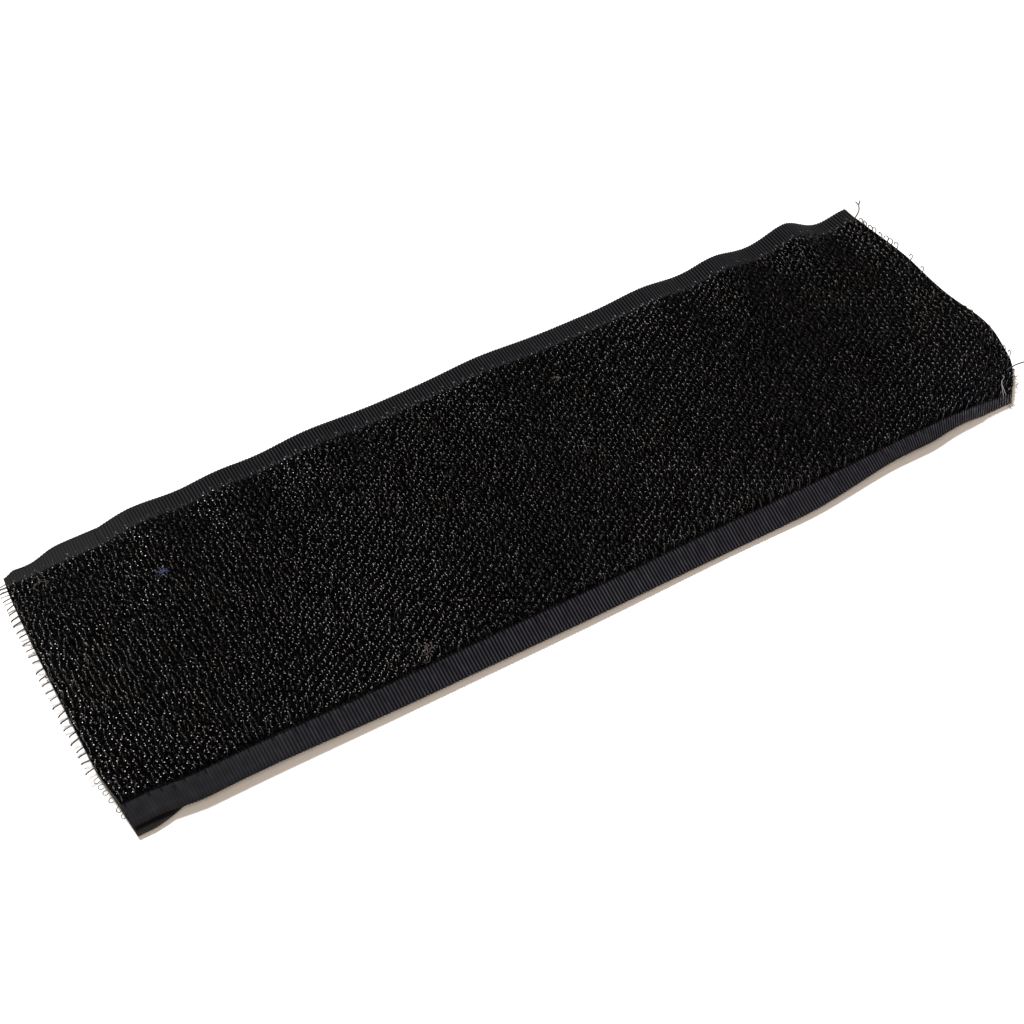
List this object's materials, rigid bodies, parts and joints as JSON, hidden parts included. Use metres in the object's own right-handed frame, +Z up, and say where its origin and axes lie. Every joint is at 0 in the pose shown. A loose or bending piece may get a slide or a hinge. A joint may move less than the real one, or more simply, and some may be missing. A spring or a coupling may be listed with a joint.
{
  "type": "tourniquet",
  "caption": "Flat black self-fastening tourniquet band: woven hook tape bonded back to back with loop tape, wraps into a ring with lapped ends.",
  "frame": {"origin": "middle of the band's footprint, on the face that lies on the table", "axes": "+X along the band towards its right end, +Y across the band, +Z up out of the hook face"},
  "size_m": [0.15, 0.05, 0.0033],
  "materials": {
    "hook_monofilament": "gloss nylon monofilament",
    "woven_ground": "rib-woven nylon with selvedges",
    "adhesive_film": "matte polyurethane film",
    "loop_tape": "warp-knitted nylon with matte brushed loops"
  },
  "bodies": {
    "panel_1": {"loop_tape_1": "loop_tape", "bond_film_1": "adhesive_film", "hook_cloth_1": "woven_ground", "hook_pile_1": "hook_monofilament"},
    "panel_2": {"loop_tape_2": "loop_tape", "bond_film_2": "adhesive_film", "hook_cloth_2": "woven_ground", "hook_pile_2": "hook_monofilament"},
    "panel_3": {"loop_tape_3": "loop_tape", "bond_film_3": "adhesive_film", "hook_cloth_3": "woven_ground", "hook_pile_3": "hook_monofilament"},
    "panel_4": {"loop_tape_4": "loop_tape", "bond_film_4": "adhesive_film", "hook_cloth_4": "woven_ground", "hook_pile_4": "hook_monofilament"},
    "panel_5": {"loop_tape_5": "loop_tape", "bond_film_5": "adhesive_film", "hook_cloth_5": "woven_ground", "hook_pile_5": "hook_monofilament"},
    "panel_6": {"loop_tape_6": "loop_tape", "bond_film_6": "adhesive_film", "hook_cloth_6": "woven_ground", "hook_pile_6": "hook_monofilament"},
    "panel_7": {"loop_tape_7": "loop_tape", "bond_film_7": "adhesive_film", "hook_cloth_7": "woven_ground", "hook_pile_7": "hook_monofilament"},
    "panel_8": {"loop_tape_8": "loop_tape", "bond_film_8": "adhesive_film", "hook_cloth_8": "woven_ground", "hook_pile_8": "hook_monofilament"},
    "panel_9": {"loop_tape_9": "loop_tape", "bond_film_9": "adhesive_film", "hook_cloth_9": "woven_ground", "hook_pile_9": "hook_monofilament"},
    "panel_10": {"loop_tape_10": "loop_tape", "bond_film_10": "adhesive_film", "hook_cloth_10": "woven_ground", "hook_pile_10": "hook_monofilament"},
    "panel_11": {"loop_tape_11": "loop_tape", "bond_film_11": "adhesive_film", "hook_cloth_11": "woven_ground", "hook_pile_11": "hook_monofilament"},
    "panel_12": {"loop_tape_12": "loop_tape", "bond_film_12": "adhesive_film", "hook_cloth_12": "woven_ground", "hook_pile_12": "hook_monofilament"},
    "panel_13": {"loop_tape_13": "loop_tape", "bond_film_13": "adhesive_film", "hook_cloth_13": "woven_ground", "hook_pile_13": "hook_monofilament"},
    "panel_14": {"loop_tape_14": "loop_tape", "bond_film_14": "adhesive_film", "hook_cloth_14": "woven_ground", "hook_pile_14": "hook_monofilament"},
    "panel_15": {"loop_tape_15": "loop_tape", "bond_film_15": "adhesive_film", "hook_cloth_15": "woven_ground", "hook_pile_15": "hook_monofilament"}
  },
  "joints": [
    {"name": "right_wrap", "type": "hinge", "parent": "panel_8", "child": "panel_9", "pos_m": [0.005, 0, 0.00145], "axis": [0, 1, 0], "range_deg": [-26, 26]},
    {"name": "right_bend_2", "type": "hinge", "parent": "panel_9", "child": "panel_10", "pos_m": [0.015, 0, 0.00145], "axis": [0, 1, 0], "range_deg": [-26, 26]},
    {"name": "right_bend_3", "type": "hinge", "parent": "panel_10", "child": "panel_11", "pos_m": [0.025, 0, 0.00145], "axis": [0, 1, 0], "range_deg": [-26, 26]},
    {"name": "right_bend_4", "type": "hinge", "parent": "panel_11", "child": "panel_12", "pos_m": [0.035, 0, 0.00145], "axis": [0, 1, 0], "range_deg": [-26, 26]},
    {"name": "right_bend_5", "type": "hinge", "parent": "panel_12", "child": "panel_13", "pos_m": [0.045, 0, 0.00145], "axis": [0, 1, 0], "range_deg": [-26, 26]},
    {"name": "right_bend_6", "type": "hinge", "parent": "panel_13", "child": "panel_14", "pos_m": [0.055, 0, 0.00145], "axis": [0, 1, 0], "range_deg": [-26, 26]},
    {"name": "right_bend_7", "type": "hinge", "parent": "panel_14", "child": "panel_15", "pos_m": [0.065, 0, 0.00145], "axis": [0, 1, 0], "range_deg": [-26, 26]},
    {"name": "left_wrap", "type": "hinge", "parent": "panel_8", "child": "panel_7", "pos_m": [-0.005, 0, 0.00145], "axis": [0, -1, 0], "range_deg": [-31, 31]},
    {"name": "left_bend_2", "type": "hinge", "parent": "panel_7", "child": "panel_6", "pos_m": [-0.015, 0, 0.00145], "axis": [0, -1, 0], "range_deg": [-31, 31]},
    {"name": "left_bend_3", "type": "hinge", "parent": "panel_6", "child": "panel_5", "pos_m": [-0.025, 0, 0.00145], "axis": [0, -1, 0], "range_deg": [-31, 31]},
    {"name": "left_bend_4", "type": "hinge", "parent": "panel_5", "child": "panel_4", "pos_m": [-0.035, 0, 0.00145], "axis": [0, -1, 0], "range_deg": [-31, 31]},
    {"name": "left_bend_5", "type": "hinge", "parent": "panel_4", "child": "panel_3", "pos_m": [-0.045, 0, 0.00145], "axis": [0, -1, 0], "range_deg": [-31, 31]},
    {"name": "left_bend_6", "type": "hinge", "parent": "panel_3", "child": "panel_2", "pos_m": [-0.055, 0, 0.00145], "axis": [0, -1, 0], "range_deg": [-31, 31]},
    {"name": "left_bend_7", "type": "hinge", "parent": "panel_2", "child": "panel_1", "pos_m": [-0.065, 0, 0.00145], "axis": [0, -1, 0], "range_deg": [-31, 31]}
  ],
  "couplings": [
    {"joint": "right_bend_2", "follows": "right_wrap", "ratio": 1},
    {"joint": "right_bend_3", "follows": "right_wrap", "ratio": 1},
    {"joint": "right_bend_4", "follows": "right_wrap", "ratio": 1},
    {"joint": "right_bend_5", "follows": "right_wrap", "ratio": 1},
    {"joint": "right_bend_6", "follows": "right_wrap", "ratio": 1},
    {"joint": "right_bend_7", "follows": "right_wrap", "ratio": 1},
    {"joint": "left_bend_2", "follows": "left_wrap", "ratio": 1},
    {"joint": "left_bend_3", "follows": "left_wrap", "ratio": 1},
    {"joint": "left_bend_4", "follows": "left_wrap", "ratio": 1},
    {"joint": "left_bend_5", "follows": "left_wrap", "ratio": 1},
    {"joint": "left_bend_6", "follows": "left_wrap", "ratio": 1},
    {"joint": "left_bend_7", "follows": "left_wrap", "ratio": 1}
  ]
}
